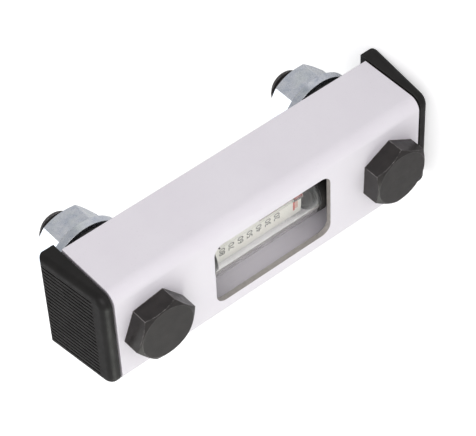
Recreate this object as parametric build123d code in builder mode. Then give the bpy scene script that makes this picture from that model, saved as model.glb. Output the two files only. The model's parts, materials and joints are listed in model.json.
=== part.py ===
from build123d import *
import math
import os

os.makedirs("parts", exist_ok=True)

# Tank level gauge, as it hangs on the side of a tank.
# +Z is up, the window faces -Y, and the tank is on the +Y side.
# The origin lies on the tank wall, midway between the two mounting bolts.
# Everything is in millimetres.

# ---------------------------------------------------------------- driving dimensions

bolt_pitch = 76.0

# folded sheet housing, open towards the tank
housing_length = 97.4
housing_width = 31.8
housing_depth = 20.2
sheet = 1.5
bend_radius = 3.3
window_length = 37.4
window_width = 20.6
window_corner = 3.0

# end blocks: a ribbed cap outside the housing and a block inside it
cap_gap = 0.6
cap_rear_reach = 6.0
cap_slant = 7.0
cap_overhang = 2.0
cap_round = 2.0
rib_count = 21
rib_pitch = 1.32
groove_width = 0.62
groove_depth = 0.5
groove_front_margin = 3.6
groove_fade = 1.6
block_length = 21.0
block_proud = 0.6
block_fit = 0.15
spigot_length = 3.5
spigot_fit = 0.05
passage_diameter = 6.5

# sight tube, between the bosses of the two blocks
tube_length = 34.4
tube_diameter = 17.4
tube_bore = 14.8
tube_axis_depth = 10.4
tube_ring_depth = 1.2
tube_ring_width = 1.6
tube_ring_round = 0.5
tube_ring_inset = 0.6

# thermometer inside the sight tube
plate_width = 11.6
plate_thickness = 0.6
plate_depth = 7.2
plate_insert = 1.0
plate_fit = 0.1
glass_diameter = 1.8
glass_bore = 0.5
glass_offset = 2.9
glass_end_gap = 0.2
bulb_diameter = 2.2
bulb_length = 3.0
bulb_wall = 0.3
column_length = 11.0

# hollow mounting bolts, M10; a turn is the angle of one corner from the X axis, seen from the front
bolt_diameter = 10.0
bolt_end = 15.3
bolt_end_chamfer = 1.0
head_flats = 16.0
head_height = 5.6
head_face_diameter = 15.4
hex_chamfer = 30.0
head_turn = {"upper": 38.8, "lower": 58.1}
bolt_bore = 5.5
cross_hole = 4.5
bolt_hole_fit = 0.25
chamber_diameter = 14.0
chamber_width = 7.0

# seals
ring_squeeze = 1.6
ring_width = 1.8
ring_round = 0.6
ring_fit = 0.02
seal_thickness = 4.7
seal_diameter = 21.0
seal_pilot = 16.4
seal_pilot_depth = 1.5
seal_edge = 0.5

# washers and nuts on the tank side
washer_diameter = 22.6
washer_thickness = 2.3
nut_flats = 17.0
nut_height = 8.4
nut_face_diameter = 16.2
nut_turn = {"upper": 37.7, "lower": 46.0}
thread_fit = 0.05

# ---------------------------------------------------------------- derived places

ends = ("upper", "lower")
bolt_z = {"upper": bolt_pitch / 2, "lower": -bolt_pitch / 2}
front_y = -(housing_depth + block_proud + seal_thickness)
housing_back_y = front_y + housing_depth
block_front_y = front_y + sheet + block_fit
block_back_y = housing_back_y + block_proud
cap_back_y = block_back_y + cap_overhang
tube_y = front_y + tube_axis_depth
plate_y = front_y + plate_depth
housing_end = housing_length / 2
block_inner = housing_end - block_length
tube_end = tube_length / 2
spigot_end = tube_end - spigot_length
spigot_diameter = tube_bore - 2 * spigot_fit
hole_radius = bolt_diameter / 2 + bolt_hole_fit
seat_radius = bolt_diameter / 2 + ring_squeeze
pilot_y = block_back_y - seal_pilot_depth

# planes whose local x and y are the world's X and Z, facing out of the front or into the tank
def facing_front(y, z=0.0):
    return Plane(origin=(0, y, z), x_dir=(1, 0, 0), z_dir=(0, -1, 0))


def facing_tank(y, z=0.0):
    return Plane(origin=(0, y, z), x_dir=(-1, 0, 0), z_dir=(0, 1, 0))


# plane through a bolt's axis: local x is the radius, local y runs towards the tank
def bolt_section(z):
    return Plane.XY.offset(z)


def bolt_axis(z):
    return Axis((0, 0, z), (0, 1, 0))


# ---------------------------------------------------------------- housing

with BuildPart() as housing:
    with BuildSketch(Plane.XY.offset(-housing_end)):
        with BuildLine():
            side = housing_width / 2
            outer = FilletPolyline(
                (-side, housing_back_y),
                (-side, front_y),
                (side, front_y),
                (side, housing_back_y),
                radius=bend_radius,
            )
            inner = FilletPolyline(
                (-side + sheet, housing_back_y),
                (-side + sheet, front_y + sheet),
                (side - sheet, front_y + sheet),
                (side - sheet, housing_back_y),
                radius=bend_radius - sheet,
            )
            Line(outer @ 0, inner @ 0)
            Line(outer @ 1, inner @ 1)
        make_face()
    extrude(amount=housing_length)
    with BuildSketch(facing_front(front_y)):
        RectangleRounded(window_width, window_length, window_corner)
        with Locations(*[(0, bolt_z[end]) for end in ends]):
            Circle(hole_radius)
    extrude(amount=-sheet, mode=Mode.SUBTRACT)
housing.part.label = "housing"
export_step(housing.part, "parts/housing.step")

# ---------------------------------------------------------------- end blocks

cap_base_z = housing_end + cap_gap
cap_rear_z = housing_end + cap_rear_reach
cap_depth = cap_back_y - front_y
slant = math.radians(cap_slant)
cap_front_z = cap_rear_z - cap_depth * math.tan(slant)
groove_run = 3 * cap_round
groove_planes = [Plane.YZ.offset((i - (rib_count - 1) / 2) * rib_pitch) for i in range(rib_count)]


# height of the cap's slanted outer face, or of a face that lies deeper by the given depth
def cap_face_z(y, depth=0.0):
    return cap_rear_z - (cap_back_y - y) * math.tan(slant) - depth / math.cos(slant)


with BuildPart() as upper_end_block:
    # cap: a wedge that thins towards the front, with the housing's rounded front edges
    with BuildSketch(Plane.YZ):
        Polygon(
            (cap_back_y, cap_base_z),
            (cap_back_y, cap_rear_z),
            (front_y, cap_front_z),
            (front_y, cap_base_z),
            align=None,
        )
    extrude(amount=housing_width / 2, both=True)
    fillet(upper_end_block.edges().filter_by(Axis.Z).group_by(Axis.Y)[0], radius=bend_radius)
    outer_face = upper_end_block.faces().sort_by(Axis.Z)[-1]
    fillet(outer_face.edges(), radius=cap_round)
    # grip grooves: a floor parallel to the outer face, fading out at the front and turned down at the rear
    with BuildSketch(*groove_planes):
        with BuildLine():
            turn_y = cap_back_y - cap_round
            turn_z = cap_face_z(turn_y, groove_depth)
            fade_y = front_y + groove_front_margin
            Polyline(
                (turn_y, turn_z),
                (turn_y + groove_run, turn_z - groove_run * math.tan(math.radians(45) - slant)),
                (turn_y + groove_run, cap_rear_z + groove_run),
                (fade_y, cap_rear_z + groove_run),
                (fade_y, cap_face_z(fade_y)),
                (fade_y + groove_fade, cap_face_z(fade_y + groove_fade, groove_depth)),
                close=True,
            )
        make_face()
    extrude(amount=groove_width / 2, both=True, mode=Mode.SUBTRACT)
    # block inside the housing
    with BuildSketch(Plane.XY.offset(block_inner)):
        with BuildLine():
            block_side = housing_width / 2 - sheet - block_fit
            block_outline = FilletPolyline(
                (-block_side, block_back_y),
                (-block_side, block_front_y),
                (block_side, block_front_y),
                (block_side, block_back_y),
                radius=bend_radius - sheet,
            )
            Line(block_outline @ 0, block_outline @ 1)
        make_face()
    extrude(amount=block_length + cap_gap)
    # boss and spigot for the sight tube
    with BuildSketch(Plane.XY.offset(tube_end)):
        with Locations((0, tube_y)):
            Circle(tube_diameter / 2)
    extrude(amount=block_inner - tube_end)
    with BuildSketch(Plane.XY.offset(spigot_end)):
        with Locations((0, tube_y)):
            Circle(spigot_diameter / 2)
    extrude(amount=spigot_length)
    # bolt hole with its seal seats, oil chamber and passage to the tube
    with BuildSketch(bolt_section(bolt_z["upper"])):
        Polygon(
            (0, block_front_y),
            (seat_radius, block_front_y),
            (seat_radius, block_front_y + ring_width),
            (hole_radius, block_front_y + ring_width),
            (hole_radius, tube_y - chamber_width / 2),
            (chamber_diameter / 2, tube_y - chamber_width / 2),
            (chamber_diameter / 2, tube_y + chamber_width / 2),
            (hole_radius, tube_y + chamber_width / 2),
            (hole_radius, pilot_y - ring_width),
            (seat_radius, pilot_y - ring_width),
            (seat_radius, pilot_y),
            (seal_pilot / 2, pilot_y),
            (seal_pilot / 2, block_back_y),
            (0, block_back_y),
            align=None,
        )
    revolve(axis=bolt_axis(bolt_z["upper"]), mode=Mode.SUBTRACT)
    with BuildSketch(Plane.XY.offset(spigot_end)):
        with Locations((0, tube_y)):
            Circle(passage_diameter / 2)
    extrude(amount=bolt_z["upper"] - spigot_end, mode=Mode.SUBTRACT)
    # groove for the tube's ring and slot for the scale plate
    with BuildSketch(Plane.XY.offset(tube_end - tube_ring_inset - tube_ring_width)):
        with Locations((0, tube_y)):
            Circle(spigot_diameter / 2)
            Circle(spigot_diameter / 2 - tube_ring_depth, mode=Mode.SUBTRACT)
    extrude(amount=tube_ring_width, mode=Mode.SUBTRACT)
    with BuildSketch(Plane.XY.offset(spigot_end)):
        with Locations((0, plate_y)):
            Rectangle(plate_width + 2 * plate_fit, plate_thickness + 2 * plate_fit)
    extrude(amount=plate_insert, mode=Mode.SUBTRACT)
upper_end_block.part.label = "upper_end_block"
export_step(upper_end_block.part, "parts/upper_end_block.step")

with BuildPart() as lower_end_block:
    mirror(upper_end_block.part, about=Plane.XY)
lower_end_block.part.label = "lower_end_block"
export_step(lower_end_block.part, "parts/lower_end_block.step")

# ---------------------------------------------------------------- sight tube and its rings

with BuildPart() as sight_tube:
    with BuildSketch(Plane.XY.offset(-tube_end)):
        with Locations((0, tube_y)):
            Circle(tube_diameter / 2)
            Circle(tube_bore / 2, mode=Mode.SUBTRACT)
    extrude(amount=tube_length)
sight_tube.part.label = "sight_tube"
export_step(sight_tube.part, "parts/sight_tube.step")

# a ring lies squeezed between the tube's bore and the floor of the spigot's groove
ring_centre_z = tube_end - tube_ring_inset - tube_ring_width / 2
ring_inner = spigot_diameter / 2 - tube_ring_depth + ring_fit
ring_outer = tube_bore / 2 - ring_fit
for end, ring_z in (("upper", ring_centre_z), ("lower", -ring_centre_z)):
    with BuildPart() as tube_ring:
        with BuildSketch(Plane(origin=(0, tube_y, ring_z), x_dir=(1, 0, 0), z_dir=(0, -1, 0))):
            with Locations(((ring_inner + ring_outer) / 2, 0)):
                RectangleRounded(ring_outer - ring_inner, tube_ring_width - 2 * ring_fit, tube_ring_round)
        revolve(axis=Axis((0, tube_y, 0), (0, 0, 1)))
    tube_ring.part.label = f"{end}_tube_ring"
    export_step(tube_ring.part, f"parts/{end}_tube_ring.step")

# ---------------------------------------------------------------- thermometer

plate_length = 2 * (spigot_end + plate_insert - plate_fit)
with BuildPart() as scale_plate:
    with BuildSketch(Plane.XY.offset(-plate_length / 2)):
        with Locations((0, plate_y)):
            Rectangle(plate_width, plate_thickness)
    extrude(amount=plate_length)
scale_plate.part.label = "scale_plate"
export_step(scale_plate.part, "parts/scale_plate.step")

# the glass lies on the front of the plate, with its bulb at the bottom
glass_y = plate_y - plate_thickness / 2 - bulb_diameter / 2 - plate_fit
glass_length = 2 * (spigot_end - glass_end_gap)
glass_bottom = -glass_length / 2
glass_plane = Plane(origin=(glass_offset, glass_y, 0), x_dir=(1, 0, 0), z_dir=(0, -1, 0))
glass_axis = Axis((glass_offset, glass_y, 0), (0, 0, 1))
bulb_top = glass_bottom + bulb_length
liquid_bottom = glass_bottom + bulb_wall
liquid_bulb_top = bulb_top - bulb_wall
column_top = bulb_top + column_length

with BuildPart() as thermometer_liquid:
    with BuildSketch(glass_plane):
        Polygon(
            (0, liquid_bottom),
            (bulb_diameter / 2 - bulb_wall, liquid_bottom),
            (bulb_diameter / 2 - bulb_wall, liquid_bulb_top),
            (glass_bore / 2, liquid_bulb_top),
            (glass_bore / 2, column_top),
            (0, column_top),
            align=None,
        )
    revolve(axis=glass_axis)
thermometer_liquid.part.label = "thermometer_liquid"
export_step(thermometer_liquid.part, "parts/thermometer_liquid.step")

with BuildPart() as thermometer_glass:
    with BuildSketch(glass_plane):
        Polygon(
            (0, glass_bottom),
            (bulb_diameter / 2, glass_bottom),
            (bulb_diameter / 2, bulb_top),
            (glass_diameter / 2, bulb_top),
            (glass_diameter / 2, -glass_bottom),
            (0, -glass_bottom),
            align=None,
        )
    revolve(axis=glass_axis)
    add(thermometer_liquid.part, mode=Mode.SUBTRACT)
thermometer_glass.part.label = "thermometer_glass"
export_step(thermometer_glass.part, "parts/thermometer_glass.step")

# ---------------------------------------------------------------- bolts, seals, washers and nuts

head_corner = head_flats / math.sqrt(3)
nut_corner = nut_flats / math.sqrt(3)
hex_slope = math.tan(math.radians(hex_chamfer))
nut_drop = (nut_corner - nut_face_diameter / 2) * hex_slope
nut_bore = bolt_diameter / 2 + thread_fit
bore_floor_y = tube_y - cross_hole
ring_middle = (bolt_diameter / 2 + seat_radius) / 2
ring_band = seat_radius - bolt_diameter / 2 - 2 * ring_fit

for end in ends:
    z = bolt_z[end]

    # hollow bolt: oil enters its open end and leaves through the cross hole
    with BuildPart() as bolt:
        with BuildSketch(facing_front(front_y, z)):
            RegularPolygon(head_corner, 6, rotation=head_turn[end])
        extrude(amount=head_height)
        with BuildSketch(bolt_section(z)):
            Polygon(
                (0, front_y - head_height),
                (head_face_diameter / 2, front_y - head_height),
                (head_corner, front_y - head_height + (head_corner - head_face_diameter / 2) * hex_slope),
                (head_corner, front_y),
                (0, front_y),
                align=None,
            )
        revolve(axis=bolt_axis(z), mode=Mode.INTERSECT)
        with BuildSketch(facing_tank(front_y, z)):
            Circle(bolt_diameter / 2)
        extrude(amount=bolt_end - front_y)
        chamfer(bolt.edges().filter_by(GeomType.CIRCLE).sort_by(Axis.Y)[-1], length=bolt_end_chamfer)
        with BuildSketch(facing_tank(bore_floor_y, z)):
            Circle(bolt_bore / 2)
        extrude(amount=bolt_end - bore_floor_y, mode=Mode.SUBTRACT)
        with BuildSketch(Plane(origin=(0, tube_y, z))):
            Circle(cross_hole / 2)
        extrude(amount=bolt_diameter, both=True, mode=Mode.SUBTRACT)
    bolt.part.label = f"{end}_bolt"
    export_step(bolt.part, f"parts/{end}_bolt.step")

    # two rings squeezed round the bolt's shank, in the block's front and rear seats
    for place, ring_y in (("front", block_front_y + ring_width / 2), ("rear", pilot_y - ring_width / 2)):
        with BuildPart() as shank_ring:
            with BuildSketch(bolt_section(z)):
                with Locations((ring_middle, ring_y)):
                    RectangleRounded(ring_band, ring_width - 2 * ring_fit, ring_round)
            revolve(axis=bolt_axis(z))
        shank_ring.part.label = f"{end}_{place}_ring"
        export_step(shank_ring.part, f"parts/{end}_{place}_ring.step")

    # wall seal: a thick rubber washer with a pilot that sits in the block
    with BuildPart() as wall_seal:
        with BuildSketch(bolt_section(z)):
            Polygon(
                (hole_radius, pilot_y),
                (seal_pilot / 2 - ring_fit, pilot_y),
                (seal_pilot / 2 - ring_fit, block_back_y),
                (seal_diameter / 2, block_back_y),
                (seal_diameter / 2, -seal_edge),
                (seal_diameter / 2 - seal_edge, 0),
                (hole_radius, 0),
                align=None,
            )
        revolve(axis=bolt_axis(z))
    wall_seal.part.label = f"{end}_wall_seal"
    export_step(wall_seal.part, f"parts/{end}_wall_seal.step")

    with BuildPart() as washer:
        with BuildSketch(facing_tank(0, z)):
            Circle(washer_diameter / 2)
            Circle(hole_radius, mode=Mode.SUBTRACT)
        extrude(amount=washer_thickness)
    washer.part.label = f"{end}_washer"
    export_step(washer.part, f"parts/{end}_washer.step")

    with BuildPart() as nut:
        with BuildSketch(facing_tank(washer_thickness, z)):
            RegularPolygon(nut_corner, 6, rotation=-nut_turn[end])
        extrude(amount=nut_height)
        with BuildSketch(bolt_section(z)):
            Polygon(
                (nut_bore, washer_thickness),
                (nut_face_diameter / 2, washer_thickness),
                (nut_corner, washer_thickness + nut_drop),
                (nut_corner, washer_thickness + nut_height - nut_drop),
                (nut_face_diameter / 2, washer_thickness + nut_height),
                (nut_bore, washer_thickness + nut_height),
                align=None,
            )
        revolve(axis=bolt_axis(z), mode=Mode.INTERSECT)
    nut.part.label = f"{end}_nut"
    export_step(nut.part, f"parts/{end}_nut.step")
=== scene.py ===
import json
from math import cos, pi, radians, sin, tan

import bmesh
import bpy
from mathutils import Matrix, Vector


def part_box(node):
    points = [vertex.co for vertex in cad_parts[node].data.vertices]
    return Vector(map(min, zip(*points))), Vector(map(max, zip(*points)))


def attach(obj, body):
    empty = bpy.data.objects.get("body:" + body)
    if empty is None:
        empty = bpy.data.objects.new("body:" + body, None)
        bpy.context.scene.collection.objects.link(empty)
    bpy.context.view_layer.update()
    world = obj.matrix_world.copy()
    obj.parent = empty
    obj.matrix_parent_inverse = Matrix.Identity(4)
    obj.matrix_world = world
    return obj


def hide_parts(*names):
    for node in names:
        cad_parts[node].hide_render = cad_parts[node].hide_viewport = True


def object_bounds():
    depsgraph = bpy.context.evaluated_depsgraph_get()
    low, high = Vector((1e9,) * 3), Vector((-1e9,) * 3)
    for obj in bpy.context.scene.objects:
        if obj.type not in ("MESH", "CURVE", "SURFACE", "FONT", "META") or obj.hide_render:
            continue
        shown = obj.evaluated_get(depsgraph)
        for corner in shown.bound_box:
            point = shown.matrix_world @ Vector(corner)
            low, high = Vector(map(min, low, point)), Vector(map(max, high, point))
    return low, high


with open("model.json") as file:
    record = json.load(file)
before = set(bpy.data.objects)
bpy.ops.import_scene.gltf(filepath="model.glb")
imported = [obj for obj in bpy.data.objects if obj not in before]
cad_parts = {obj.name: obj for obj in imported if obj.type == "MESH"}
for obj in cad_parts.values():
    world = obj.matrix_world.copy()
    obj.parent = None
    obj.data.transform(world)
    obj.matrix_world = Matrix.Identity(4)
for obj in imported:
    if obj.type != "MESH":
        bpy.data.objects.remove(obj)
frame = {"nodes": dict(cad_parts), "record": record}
cad_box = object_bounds()
nodes = frame["nodes"]

MM = 0.001
ENDS = ("upper", "lower")

# Window in the housing: half its width and half its length, and a little more
WINDOW_REACH_X = 10.4 * MM
WINDOW_REACH_Z = 18.8 * MM

# M10 hexagon bolts, in metres: head, shank, thread and bore
HEAD_FLATS = 16.0 * MM
HEAD_FACE_DIAMETER = 15.4 * MM
HEAD_CHAMFER = radians(30)
HEAD_TURN = {"upper": radians(38.8), "lower": radians(58.1)}
SHANK_DIAMETER = 10.0 * MM
THREAD_PITCH = 1.5 * MM
THREAD_DEPTH = 0.75 * MM
THREAD_LENGTH = 17.0 * MM
POINT_CHAMFER = 1.0 * MM
POINT_ANGLE = radians(45)
BORE_DIAMETER = 5.5 * MM
BORE_DEPTH = 34.9 * MM

# Steps of the bolts' meshes, and the form of the thread's groove
BOLT_AROUND = 96
CHAMFER_STEPS = 12
STEPS_PER_TURN = 12
GROOVE_FLAT = 1.3
GROOVE_SLOPE = 3.0
BOLT_SMOOTH_BELOW = radians(25)

# Print on the scale plate. Places along X are from the plate's low or high side, along Z from the middle.
NUMBERS = (80, 70, 60, 50, 40, 30, 20)
NUMBER_HEIGHT = 1.9 * MM
NUMBER_PITCH = 2.97 * MM
NUMBER_TOP = 11.2 * MM
NUMBER_RIGHT = 5.1 * MM
DIGIT_SHARE = 0.72
TICK_GAP = 0.4 * MM
TICK_LENGTH = 1.4 * MM
TICK_HALF_WIDTH = 0.12 * MM
RED_BAND_LEFT = 2.0 * MM
RED_FIELD_LEFT = 2.4 * MM
RED_MARGIN = 0.2 * MM
RED_BAND_BOTTOM = -12.5 * MM
RED_BAND_TOP = -11.9 * MM
RED_FIELD_BOTTOM = -13.5 * MM
INK_THICKNESS = 0.02 * MM

# Inside of the sight tube: where the end blocks' spigots start, and how far their rings move out with them
SPIGOT_END = 15.9 * MM
RING_SHIFT = 1.3 * MM

# Camera
VIEW_AZIMUTH = radians(54.0036)
VIEW_ELEVATION = radians(24.4312)
VIEW_ROLL = radians(-122.6367)
VIEW_DISTANCE = 0.534214
VIEW_TARGET = Vector((-4.1023, -10.9419, -0.3511)) * MM
LENS = 159.75
SENSOR_WIDTH = 36
CLIP_START = 0.01
CLIP_END = 20

# Brightness of the surroundings, towards the front of the object and behind it
ROOM_FRONT = 0.85
ROOM_REAR = 0.40

# Floor, in metres, and its own glow
FLOOR_HALF = 4.0
FLOOR_GLOW = 0.55


# Materials ---------------------------------------------------------------------------------------


class Shader:
    """One material: a Principled shader, with the few node patterns that all the finishes share."""

    def __init__(self, name):
        self.material = bpy.data.materials.new(name)
        self.material.use_nodes = True
        self.tree = self.material.node_tree
        self.surface = self.tree.nodes["Principled BSDF"]
        self.output = self.tree.nodes["Material Output"]
        self.place = self.add("ShaderNodeTexCoord").outputs["Object"]

    def add(self, kind, **settings):
        node = self.tree.nodes.new(kind)
        for key, value in settings.items():
            setattr(node, key, value)
        return node

    def link(self, source, target):
        self.tree.links.new(source, target)

    def noise(self, size, detail=3.0, roughness=0.55, stretch=(1, 1, 1)):
        """A noise pattern whose blobs are about size across, in metres, stretched along the row's axes."""
        mapping = self.add("ShaderNodeMapping")
        mapping.inputs["Scale"].default_value = [1 / (size * s) for s in stretch]
        self.link(self.place, mapping.inputs["Vector"])
        texture = self.add("ShaderNodeTexNoise")
        texture.inputs["Scale"].default_value = 1.0
        texture.inputs["Detail"].default_value = detail
        texture.inputs["Roughness"].default_value = roughness
        self.link(mapping.outputs["Vector"], texture.inputs["Vector"])
        return texture.outputs["Fac"]

    def cells(self, size):
        """Flat-toned cells about size across, as in a crystalline coating."""
        mapping = self.add("ShaderNodeMapping")
        mapping.inputs["Scale"].default_value = [1 / size] * 3
        self.link(self.place, mapping.inputs["Vector"])
        texture = self.add("ShaderNodeTexVoronoi")
        texture.inputs["Scale"].default_value = 1.0
        self.link(mapping.outputs["Vector"], texture.inputs["Vector"])
        split = self.add("ShaderNodeSeparateColor")
        self.link(texture.outputs["Color"], split.inputs["Color"])
        return split.outputs["Red"]

    def spread(self, value, low, high, start=0.3, end=0.7):
        """value, from start to end, turned into a number from low to high."""
        node = self.add("ShaderNodeMapRange")
        node.inputs["From Min"].default_value = start
        node.inputs["From Max"].default_value = end
        node.inputs["To Min"].default_value = low
        node.inputs["To Max"].default_value = high
        self.link(value, node.inputs["Value"])
        return node.outputs["Result"]

    def times(self, a, b):
        node = self.add("ShaderNodeMath", operation="MULTIPLY")
        self.link(a, node.inputs[0])
        self.link(b, node.inputs[1])
        return node.outputs["Value"]

    def below(self, vector, axis, limit):
        """1 where the vector's share along the axis, whatever its sign, is less than limit."""
        split = self.add("ShaderNodeSeparateXYZ")
        self.link(vector, split.inputs["Vector"])
        size = self.add("ShaderNodeMath", operation="ABSOLUTE")
        self.link(split.outputs[axis], size.inputs[0])
        small = self.add("ShaderNodeMath", operation="LESS_THAN")
        self.link(size.outputs["Value"], small.inputs[0])
        small.inputs[1].default_value = limit
        return small.outputs["Value"]

    def within(self, axis, reach):
        """1 where the place is less than reach from the middle along the axis, and 0 beyond."""
        return self.below(self.place, axis, reach)

    def turned_from(self, axis):
        """1 on faces that look sideways from the axis, and 0 on those that look along it."""
        flat = self.add("ShaderNodeNewGeometry")
        return self.below(flat.outputs["Normal"], axis, 0.5)

    def mix(self, factor, a, b):
        """Colour a turning into colour b as factor goes from 0 to 1. Each is a colour or a socket."""
        node = self.add("ShaderNodeMix", data_type="RGBA")
        self.link(factor, node.inputs["Factor"])
        for value, target in ((a, node.inputs[6]), (b, node.inputs[7])):
            if isinstance(value, (tuple, list)):
                target.default_value = (*value, 1)
            else:
                self.link(value, target)
        return node.outputs[2]

    def edges(self, radius, start=0.02, end=0.2):
        """1 along sharp edges and 0 on flat or gently curved faces."""
        rounded = self.add("ShaderNodeBevel", samples=8)
        rounded.inputs["Radius"].default_value = radius
        flat = self.add("ShaderNodeNewGeometry")
        facing = self.add("ShaderNodeVectorMath", operation="DOT_PRODUCT")
        self.link(rounded.outputs["Normal"], facing.inputs[0])
        self.link(flat.outputs["Normal"], facing.inputs[1])
        return self.spread(facing.outputs["Value"], 1.0, 0.0, 1 - end, 1 - start)

    def relief(self, height, distance, strength=1.0, edge_radius=None, below=None):
        """Bump from height, over softened edges or over another relief."""
        bump = self.add("ShaderNodeBump")
        bump.inputs["Distance"].default_value = distance
        bump.inputs["Strength"].default_value = strength
        self.link(height, bump.inputs["Height"])
        if edge_radius:
            rounded = self.add("ShaderNodeBevel", samples=8)
            rounded.inputs["Radius"].default_value = edge_radius
            self.link(rounded.outputs["Normal"], bump.inputs["Normal"])
        if below:
            self.link(below, bump.inputs["Normal"])
        self.link(bump.outputs["Normal"], self.surface.inputs["Normal"])
        return bump.outputs["Normal"]

    def set(self, **values):
        for name, value in values.items():
            self.surface.inputs[name.replace("_", " ")].default_value = value

    def let_lamps_through(self, tint):
        """Lamps reach what is behind the glass, dimmed by tint."""
        clear = self.add("ShaderNodeBsdfTransparent")
        clear.inputs["Color"].default_value = (*tint, 1)
        path = self.add("ShaderNodeLightPath")
        blend = self.add("ShaderNodeMixShader")
        self.link(path.outputs["Is Shadow Ray"], blend.inputs["Fac"])
        self.link(self.surface.outputs["BSDF"], blend.inputs[1])
        self.link(clear.outputs["BSDF"], blend.inputs[2])
        self.link(blend.outputs["Shader"], self.output.inputs["Surface"])


def white_paint():
    """Satin powder coat: orange peel, broad patches of tone, worn edges and a darker, uneven grey on the cut
    edges round the window.
    """
    s = Shader("white_paint")
    cloud = s.spread(s.noise(14 * MM), 0, 1)
    colour = s.mix(cloud, (0.82, 0.79, 0.83), (0.85, 0.825, 0.86))
    specks = s.spread(s.noise(0.5 * MM, detail=1), 0, 0.25, 0.68, 0.8)
    colour = s.mix(specks, colour, (0.62, 0.60, 0.60))
    wear_and_glint = s.times(s.edges(0.35 * MM, 0.1, 0.35), s.spread(s.noise(3 * MM), 0.1, 0.55))
    colour = s.mix(wear_and_glint, colour, (0.60, 0.57, 0.53))
    # The cut edges round the window get a darker, uneven grey.
    window = s.times(s.within("X", WINDOW_REACH_X), s.within("Z", WINDOW_REACH_Z))
    cut = s.times(window, s.turned_from("Y"))
    cut_edge_grey = s.mix(s.spread(s.noise(0.8 * MM), 0, 1), (0.38, 0.355, 0.33), (0.48, 0.45, 0.42))
    colour = s.mix(cut, colour, cut_edge_grey)
    s.link(colour, s.surface.inputs["Base Color"])
    s.link(s.spread(s.noise(5 * MM), 0.34, 0.46), s.surface.inputs["Roughness"])
    peel = s.relief(s.noise(0.9 * MM, detail=2), 0.02 * MM, 0.35, edge_radius=0.25 * MM)
    s.relief(s.noise(0.2 * MM, detail=1), 0.004 * MM, 0.3, below=peel)
    return s.material


def black_plastic():
    """Moulded black plastic: fine spark-eroded grain, grey scuffs along the edges."""
    s = Shader("black_plastic")
    cloud = s.spread(s.noise(7 * MM), 0, 1)
    colour = s.mix(cloud, (0.007, 0.0065, 0.006), (0.014, 0.013, 0.012))
    wear_and_glint = s.times(s.edges(0.25 * MM), s.spread(s.noise(1.6 * MM), 0.15, 0.9))
    colour = s.mix(wear_and_glint, colour, (0.11, 0.105, 0.10))
    s.link(colour, s.surface.inputs["Base Color"])
    s.link(s.spread(s.noise(2.5 * MM), 0.36, 0.52), s.surface.inputs["Roughness"])
    s.relief(s.noise(0.16 * MM, detail=2), 0.02 * MM, 0.5, edge_radius=0.15 * MM)
    s.set(Specular_IOR_Level=0.25)
    return s.material


def black_rubber():
    """Matt nitrile rubber with moulding bloom."""
    s = Shader("black_rubber")
    bloom = s.spread(s.noise(1.8 * MM), 0, 1, 0.4, 0.75)
    colour = s.mix(bloom, (0.012, 0.012, 0.012), (0.035, 0.034, 0.033))
    s.link(colour, s.surface.inputs["Base Color"])
    s.link(s.spread(s.noise(0.8 * MM), 0.6, 0.8), s.surface.inputs["Roughness"])
    s.relief(s.noise(0.25 * MM, detail=2), 0.03 * MM, 0.4, edge_radius=0.2 * MM)
    return s.material


def black_steel():
    """Black oxide on steel, with turning marks, oily patches, and painted glints at the corners: a pale grey
    that also stands for bare metal rubbed up there.
    """
    s = Shader("black_steel")
    patch = s.spread(s.noise(2.6 * MM, detail=5), 0, 1)
    colour = s.mix(patch, (0.015, 0.0130, 0.0120), (0.028, 0.0245, 0.0225))
    # Painted highlight: pale grey along the sharp edges stands in for glints of light, together with bare
    # metal rubbed up there.
    wear_and_glint = s.times(s.edges(0.4 * MM, 0.01, 0.1), s.spread(s.noise(1.1 * MM), 0.15, 1.0))
    colour = s.mix(wear_and_glint, colour, (0.42, 0.40, 0.39))
    s.link(colour, s.surface.inputs["Base Color"])
    s.link(s.spread(s.noise(1.3 * MM, detail=5), 0.28, 0.46), s.surface.inputs["Roughness"])
    s.relief(s.noise(0.3 * MM, detail=4), 0.03 * MM, 0.5, edge_radius=0.18 * MM)
    s.set(Specular_IOR_Level=0.36)
    return s.material


def zinc_plate():
    """Bright zinc plating with a bluish passivation, mottled and slightly uneven."""
    s = Shader("zinc_plate")
    mottle = s.spread(s.noise(2.2 * MM, detail=5, roughness=0.65), 0, 1)
    colour = s.mix(mottle, (0.52, 0.57, 0.66), (0.80, 0.82, 0.85))
    film = s.spread(s.noise(4.5 * MM, detail=2), 0, 0.5, 0.5, 0.75)
    colour = s.mix(film, colour, (0.70, 0.76, 0.74))
    spangle = s.spread(s.cells(0.7 * MM), 0, 0.25, 0, 1)
    colour = s.mix(spangle, colour, (0.88, 0.90, 0.94))
    wear_and_glint = s.times(s.edges(0.25 * MM), s.spread(s.noise(1.2 * MM), 0.1, 0.7))
    colour = s.mix(wear_and_glint, colour, (0.90, 0.91, 0.92))
    s.link(colour, s.surface.inputs["Base Color"])
    s.link(s.spread(s.noise(1.5 * MM, detail=4), 0.16, 0.34), s.surface.inputs["Roughness"])
    waves = s.relief(s.noise(1.4 * MM, detail=3), 0.08 * MM, 0.35, edge_radius=0.2 * MM)
    s.relief(s.noise(0.25 * MM, detail=3), 0.015 * MM, 0.4, below=waves)
    s.set(Metallic=1.0)
    return s.material


def clear_plastic():
    """Clear moulded tube with faint draw lines along its length."""
    s = Shader("clear_plastic")
    haze = s.spread(s.noise(6 * MM), 0, 1)
    s.link(s.mix(haze, (0.95, 0.955, 0.93), (0.98, 0.98, 0.97)), s.surface.inputs["Base Color"])
    s.link(s.spread(s.noise(3 * MM), 0.0, 0.02), s.surface.inputs["Roughness"])
    s.relief(s.noise(0.8 * MM, detail=2, stretch=(1, 1, 18)), 0.01 * MM, 0.25)
    s.set(Transmission_Weight=1.0, IOR=1.49)
    s.let_lamps_through((0.88, 0.88, 0.86))
    return s.material


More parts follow.
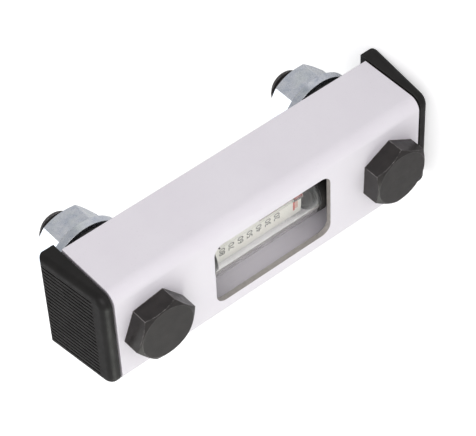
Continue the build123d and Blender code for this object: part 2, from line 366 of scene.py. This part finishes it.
def thermometer_glass():
    """Thin clear glass with slight waves."""
    s = Shader("thermometer_glass")
    wave = s.spread(s.noise(2 * MM), 0, 1)
    s.link(s.mix(wave, (0.96, 0.97, 0.97), (0.99, 0.99, 0.99)), s.surface.inputs["Base Color"])
    s.link(s.spread(s.noise(1.5 * MM), 0.01, 0.04), s.surface.inputs["Roughness"])
    s.relief(s.noise(0.7 * MM, stretch=(1, 1, 6)), 0.01 * MM, 0.2)
    s.set(Transmission_Weight=1.0, IOR=1.47)
    s.let_lamps_through((0.93, 0.93, 0.93))
    return s.material


def scale_white():
    """White printed plate, slightly warm and uneven."""
    s = Shader("scale_white")
    cloud = s.spread(s.noise(4 * MM), 0, 1)
    colour = s.mix(cloud, (0.82, 0.80, 0.76), (0.88, 0.865, 0.83))
    s.link(colour, s.surface.inputs["Base Color"])
    s.link(s.spread(s.noise(1.2 * MM), 0.38, 0.5), s.surface.inputs["Roughness"])
    s.relief(s.noise(0.3 * MM), 0.01 * MM, 0.3)
    return s.material


def ink(name, thin, full):
    """Screen-printed ink that lies a little unevenly."""
    s = Shader(name)
    cover = s.spread(s.noise(0.4 * MM, detail=2), 0, 1, 0.35, 0.65)
    s.link(s.mix(cover, thin, full), s.surface.inputs["Base Color"])
    s.link(s.spread(s.noise(0.6 * MM), 0.4, 0.55), s.surface.inputs["Roughness"])
    s.relief(s.noise(0.2 * MM), 0.004 * MM, 0.3)
    return s.material


def red_liquid():
    """Dyed spirit in the thermometer."""
    s = Shader("red_liquid")
    depth = s.spread(s.noise(1.5 * MM), 0, 1)
    s.link(s.mix(depth, (0.50, 0.03, 0.04), (0.66, 0.06, 0.06)), s.surface.inputs["Base Color"])
    s.link(s.spread(s.noise(1 * MM), 0.1, 0.2), s.surface.inputs["Roughness"])
    s.relief(s.noise(0.5 * MM), 0.004 * MM, 0.2)
    return s.material


def paint_frame_nodes():
    """Gives each CAD node the finish of its material slot."""
    finishes = {
        "white_paint": white_paint(),
        "black_plastic": black_plastic(),
        "clear_plastic": clear_plastic(),
        "scale_white": scale_white(),
        "thermometer_glass": thermometer_glass(),
        "red_liquid": red_liquid(),
        "black_rubber": black_rubber(),
        "black_steel": black_steel(),
        "zinc_plate": zinc_plate(),
    }
    for part in frame["record"]["subparts"]:
        node = nodes[part["node"]]
        node.data.materials.clear()
        node.data.materials.append(finishes[part["material_slot"]])
    return finishes


# Meshes ------------------------------------------------------------------------------------------


def add_piece(name, mesh, material):
    """A new piece of the object, riding on its only body."""
    piece = bpy.data.objects.new(name, mesh)
    bpy.context.scene.collection.objects.link(piece)
    mesh.materials.clear()
    mesh.materials.append(material)
    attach(piece, "root")
    return piece


def hexagon_radius(angle, flats, turn):
    """Distance from the centre of a hexagon to its side, at an angle, with a corner at turn."""
    sector = pi / 3
    off_side = (angle - turn) % sector - sector / 2
    return flats / 2 / cos(off_side)


def bolt_rings(length, head_height):
    """(distance from the head's face, part of the bolt) of each ring of the bolt's mesh."""
    corner = HEAD_FLATS / 2 / cos(pi / 6)
    chamfer_depth = (corner - HEAD_FACE_DIAMETER / 2) * tan(HEAD_CHAMFER)
    rings = [(chamfer_depth * i / CHAMFER_STEPS, "head") for i in range(CHAMFER_STEPS + 1)]
    rings.append((head_height, "head"))
    rings.append((head_height, "shank"))
    thread_start = length - THREAD_LENGTH
    rings.append((thread_start - THREAD_PITCH, "shank"))
    steps = int(THREAD_LENGTH / THREAD_PITCH * STEPS_PER_TURN)
    rings += [(thread_start + THREAD_LENGTH * i / steps, "thread") for i in range(steps + 1)]
    return rings


def bolt_radius(depth, part, angle, length, turn):
    """Radius of the bolt's surface at a depth behind the head's face, and at an angle."""
    if part == "head":
        cone = HEAD_FACE_DIAMETER / 2 + depth / tan(HEAD_CHAMFER)
        return min(hexagon_radius(angle, HEAD_FLATS, turn), cone)
    if part == "shank":
        return SHANK_DIAMETER / 2
    phase = (depth / THREAD_PITCH - angle / (2 * pi)) % 1
    groove = THREAD_DEPTH * max(0.0, min(1.0, GROOVE_FLAT - abs(phase - 0.5) * GROOVE_SLOPE))
    run_out = min(1.0, (depth - (length - THREAD_LENGTH)) / THREAD_PITCH)
    point = SHANK_DIAMETER / 2 - POINT_CHAMFER + (length - depth) / tan(POINT_ANGLE)
    return min(SHANK_DIAMETER / 2 - groove * run_out, point)


def bolt_mesh(name, front, centre_z, length, head_height, turn):
    """Hexagon bolt along +Y: chamfered head, plain shank, threaded end and the bore that opens at it."""
    angles = [2 * pi * i / BOLT_AROUND + turn for i in range(BOLT_AROUND)]
    bm = bmesh.new()
    rows = []
    for depth, part in bolt_rings(length, head_height):
        row = []
        for angle in angles:
            radius = bolt_radius(depth, part, angle, length, turn)
            x = radius * cos(angle)
            z = centre_z + radius * sin(angle)
            row.append(bm.verts.new((x, front + depth, z)))
        rows.append(row)
    bore = BORE_DIAMETER / 2
    for depth in (length, length - BORE_DEPTH):
        rows.append([bm.verts.new((bore * cos(a), front + depth, centre_z + bore * sin(a))) for a in angles])
    for first, second in zip(rows, rows[1:]):
        for i in range(BOLT_AROUND):
            j = (i + 1) % BOLT_AROUND
            bm.faces.new((first[i], first[j], second[j], second[i]))
    bm.faces.new(rows[0][::-1])
    bm.faces.new(rows[-1])
    bmesh.ops.recalc_face_normals(bm, faces=bm.faces)
    mesh = bpy.data.meshes.new(name)
    bm.to_mesh(mesh)
    bm.free()
    mesh.shade_smooth()
    mesh.set_sharp_from_angle(angle=BOLT_SMOOTH_BELOW)
    return mesh


def make_bolts(material):
    for end in ENDS:
        low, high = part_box(f"{end}_bolt")
        nut_low, nut_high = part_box(f"{end}_nut")
        centre_z = (nut_low.z + nut_high.z) / 2
        housing_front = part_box("housing")[0].y
        mesh = bolt_mesh(
            f"{end}_hex_bolt",
            front=low.y,
            centre_z=centre_z,
            length=high.y - low.y,
            head_height=housing_front - low.y,
            turn=HEAD_TURN[end],
        )
        piece = add_piece(f"{end}_hex_bolt", mesh, material)
        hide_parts(f"{end}_bolt")


def set_back(name, node_name, reach, shift, finishes, slot):
    """Copy of a node for the render, moved by shift away from the middle and kept reach or more from it."""
    mesh = nodes[node_name].data.copy()
    mesh.name = name
    mesh.transform(nodes[node_name].matrix_world)
    for vertex in mesh.vertices:
        side = 1 if vertex.co.z > 0 else -1
        vertex.co.z = side * max(abs(vertex.co.z) + shift, reach)
    piece = add_piece(name, mesh, finishes[slot])
    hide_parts(node_name)


def make_tube_ends(finishes):
    """Shorter spigots in the sight tube, with their rings further in, so that the plate shows to its end."""
    for end in ENDS:
        set_back(f"{end}_ribbed_block", f"{end}_end_block", SPIGOT_END, 0, finishes, "black_plastic")
        set_back(f"{end}_spigot_ring", f"{end}_tube_ring", 0, RING_SHIFT, finishes, "black_rubber")


def printed_text(name, text, height, x, y, z, material):
    """Flat printed characters on the plate, upright in use and read from the front."""
    curve = bpy.data.curves.new(name, "FONT")
    curve.body = text
    curve.size = height / DIGIT_SHARE
    curve.align_x = "RIGHT"
    curve.align_y = "CENTER"
    curve.extrude = INK_THICKNESS / 2
    curve.resolution_u = 4
    holder = bpy.data.objects.new(name, curve)
    bpy.context.scene.collection.objects.link(holder)
    bpy.context.view_layer.update()
    mesh = bpy.data.meshes.new_from_object(holder.evaluated_get(bpy.context.evaluated_depsgraph_get()))
    bpy.data.objects.remove(holder)
    mesh.name = name
    stand = Matrix.Translation((x, y, z)) @ Matrix.Rotation(pi / 2, 4, "X")
    mesh.transform(stand)
    return add_piece(name, mesh, material)


def printed_bar(name, x_from, x_to, z_from, z_to, y, material):
    """A printed line or band, INK_THICKNESS thick."""
    bm = bmesh.new()
    corners = ((x_from, z_from), (x_to, z_from), (x_to, z_to), (x_from, z_to))
    face = bm.faces.new([bm.verts.new((x, y + INK_THICKNESS / 2, z)) for x, z in corners])
    raised = bmesh.ops.extrude_face_region(bm, geom=[face])["geom"]
    moved = [v for v in raised if isinstance(v, bmesh.types.BMVert)]
    bmesh.ops.translate(bm, verts=moved, vec=(0, -INK_THICKNESS, 0))
    bmesh.ops.recalc_face_normals(bm, faces=bm.faces)
    mesh = bpy.data.meshes.new(name)
    bm.to_mesh(mesh)
    bm.free()
    return add_piece(name, mesh, material)


def make_print():
    """Temperature numbers, their ticks, the red band and the paler field, on the front of the scale plate."""
    black = ink("black_ink", (0.05, 0.045, 0.045), (0.015, 0.015, 0.015))
    red = ink("red_ink", (0.72, 0.22, 0.20), (0.55, 0.07, 0.07))
    low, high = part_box("scale_plate")
    y = low.y - INK_THICKNESS / 2
    number_x = low.x + NUMBER_RIGHT
    for i, number in enumerate(NUMBERS):
        z = NUMBER_TOP - i * NUMBER_PITCH
        printed_text(f"number_{number}", str(number), NUMBER_HEIGHT, number_x, y, z, black)
        tick = number_x + TICK_GAP
        low_z = z - TICK_HALF_WIDTH
        high_z = z + TICK_HALF_WIDTH
        printed_bar(f"tick_{number}", tick, tick + TICK_LENGTH, low_z, high_z, y, black)
    pale_red = ink("pale_red_ink", (0.72, 0.50, 0.44), (0.66, 0.40, 0.35))
    right = high.x - RED_MARGIN
    printed_bar("red_band", low.x + RED_BAND_LEFT, right, RED_BAND_BOTTOM, RED_BAND_TOP, y, red)
    printed_bar("red_field", low.x + RED_FIELD_LEFT, right, RED_FIELD_BOTTOM, RED_BAND_BOTTOM, y, pale_red)


# Camera, light and floor -------------------------------------------------------------------------


def turned_to(azimuth, elevation, roll=0.0):
    """Rotation that makes a camera or lamp look from that azimuth and elevation towards the object."""
    back = Vector((sin(azimuth) * cos(elevation), -cos(azimuth) * cos(elevation), sin(elevation)))
    right = Vector((cos(azimuth), sin(azimuth), 0))
    up = back.cross(right)
    rolled_right = right * cos(roll) + up * sin(roll)
    rolled_up = up * cos(roll) - right * sin(roll)
    return back, Matrix((rolled_right, rolled_up, back)).transposed().to_4x4()


def make_camera():
    camera = bpy.data.objects.new("camera", bpy.data.cameras.new("camera"))
    back, rotation = turned_to(VIEW_AZIMUTH, VIEW_ELEVATION, VIEW_ROLL)
    camera.matrix_world = Matrix.Translation(VIEW_TARGET + back * VIEW_DISTANCE) @ rotation
    camera.data.lens = LENS
    camera.data.sensor_width = SENSOR_WIDTH
    camera.data.clip_start = CLIP_START
    camera.data.clip_end = CLIP_END
    bpy.context.scene.collection.objects.link(camera)
    bpy.context.scene.camera = camera


def make_lamp(name, azimuth, elevation, distance, size, power, colour=(1, 1, 1)):
    light = bpy.data.lights.new(name, "AREA")
    light.shape = "SQUARE"
    light.size = size
    light.energy = power
    light.color = colour
    lamp = bpy.data.objects.new(name, light)
    back, rotation = turned_to(radians(azimuth), radians(elevation))
    lamp.matrix_world = Matrix.Translation(back * distance) @ rotation
    bpy.context.scene.collection.objects.link(lamp)


def seen_plainly(tree):
    """1 for rays from the camera and through clear pieces, which see the backdrop as plain white."""
    path = tree.nodes.new("ShaderNodeLightPath")
    seen = tree.nodes.new("ShaderNodeMath")
    seen.operation = "MAXIMUM"
    tree.links.new(path.outputs["Is Camera Ray"], seen.inputs[0])
    tree.links.new(path.outputs["Is Transmission Ray"], seen.inputs[1])
    return seen.outputs["Value"]


def make_floor():
    """Pale floor just under the object. Its own glow, seen by the camera, leaves only the object's shadow."""
    mesh = bpy.data.meshes.new("floor")
    level = cad_box[0].z
    corners = [(x * FLOOR_HALF, y * FLOOR_HALF, level) for x, y in ((-1, -1), (1, -1), (1, 1), (-1, 1))]
    mesh.from_pydata(corners, [], [(0, 1, 2, 3)])
    floor = bpy.data.objects.new("floor", mesh)
    bpy.context.scene.collection.objects.link(floor)
    material = bpy.data.materials.new("floor")
    material.use_nodes = True
    tree = material.node_tree
    lit = tree.nodes["Principled BSDF"]
    lit.inputs["Base Color"].default_value = (0.8, 0.8, 0.8, 1)
    lit.inputs["Roughness"].default_value = 0.9
    seen = seen_plainly(tree)
    glow = tree.nodes.new("ShaderNodeMath")
    glow.operation = "MULTIPLY"
    glow.inputs[1].default_value = FLOOR_GLOW
    tree.links.new(seen, glow.inputs[0])
    tree.links.new(glow.outputs["Value"], lit.inputs["Emission Strength"])
    lit.inputs["Emission Color"].default_value = (1, 1, 1, 1)
    mesh.materials.append(material)


def make_world():
    """Pale surroundings, brighter in front of the object than behind. The camera sees them as plain white."""
    world = bpy.data.worlds.new("studio")
    bpy.context.scene.world = world
    world.use_nodes = True
    tree = world.node_tree
    direction = tree.nodes.new("ShaderNodeTexCoord")
    split = tree.nodes.new("ShaderNodeSeparateXYZ")
    tree.links.new(direction.outputs["Generated"], split.inputs["Vector"])
    level = tree.nodes.new("ShaderNodeMapRange")
    level.inputs["From Min"].default_value = -1.0
    level.inputs["From Max"].default_value = 1.0
    level.inputs["To Min"].default_value = ROOM_FRONT
    level.inputs["To Max"].default_value = ROOM_REAR
    tree.links.new(split.outputs["Y"], level.inputs["Value"])
    room = tree.nodes["Background"]
    room.inputs["Color"].default_value = (0.985, 0.985, 1.0, 1)
    tree.links.new(level.outputs["Result"], room.inputs["Strength"])
    backdrop = tree.nodes.new("ShaderNodeBackground")
    backdrop.inputs["Color"].default_value = (1, 1, 1, 1)
    backdrop.inputs["Strength"].default_value = 1.0
    blend = tree.nodes.new("ShaderNodeMixShader")
    tree.links.new(seen_plainly(tree), blend.inputs["Fac"])
    tree.links.new(room.outputs["Background"], blend.inputs[1])
    tree.links.new(backdrop.outputs["Background"], blend.inputs[2])
    tree.links.new(blend.outputs["Shader"], tree.nodes["World Output"].inputs["Surface"])


finishes = paint_frame_nodes()
make_bolts(finishes["black_steel"])
make_tube_ends(finishes)
make_print()
make_camera()
make_lamp("fill", azimuth=50, elevation=30, distance=0.7, size=0.5, power=1.5, colour=(1.0, 0.95, 1.0))
make_lamp("left", azimuth=-50, elevation=5, distance=0.7, size=0.5, power=1.8, colour=(0.96, 1.0, 0.92))
make_lamp("rear", azimuth=204, elevation=54, distance=0.9, size=0.5, power=1.3)
make_floor()
make_world()
bpy.context.scene.view_settings.view_transform = "Standard"
